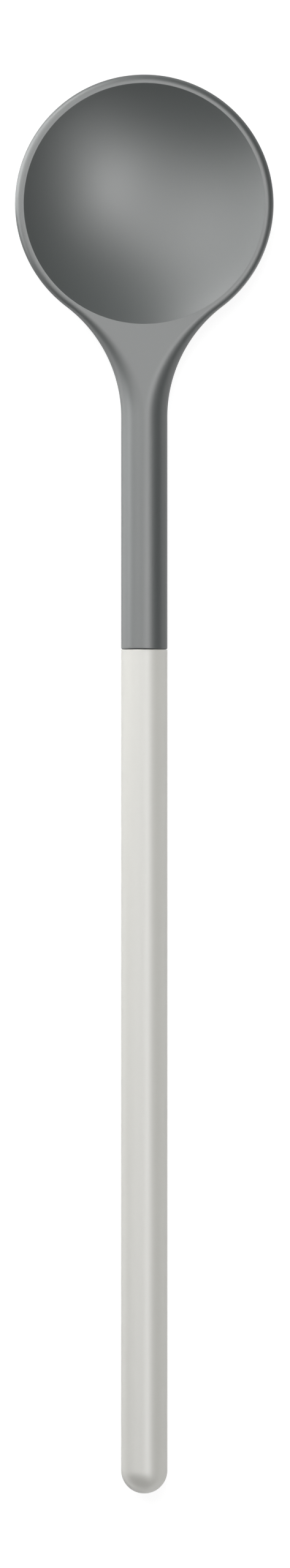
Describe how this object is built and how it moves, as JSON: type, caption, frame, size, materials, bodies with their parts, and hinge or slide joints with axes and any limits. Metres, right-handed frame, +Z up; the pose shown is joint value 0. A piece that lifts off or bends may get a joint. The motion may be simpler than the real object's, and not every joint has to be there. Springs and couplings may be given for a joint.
{
  "type": "ladle",
  "caption": "Kitchen ladle with a shallow round bowl, a flat deck flaring into a round neck, and a straight round grip with a domed end.",
  "frame": {"origin": "on the table under the middle of the ladle's length, with the ladle lying level, bowl upwards", "axes": "+Y along the bar towards the bowl's tip, +Z up out of the bowl, +X across the bowl"},
  "size_m": [0.0564, 0.31, 0.0101],
  "materials": {
    "dark_nylon": "satin moulded heat-proof nylon, dark grey",
    "pale_grip": "satin moulded plastic, pale warm grey",
    "core_steel": "drawn steel rod with turned grooves"
  },
  "bodies": {
    "root": {"head": "dark_nylon", "handle": "pale_grip", "core_rod": "core_steel"}
  },
  "joints": []
}
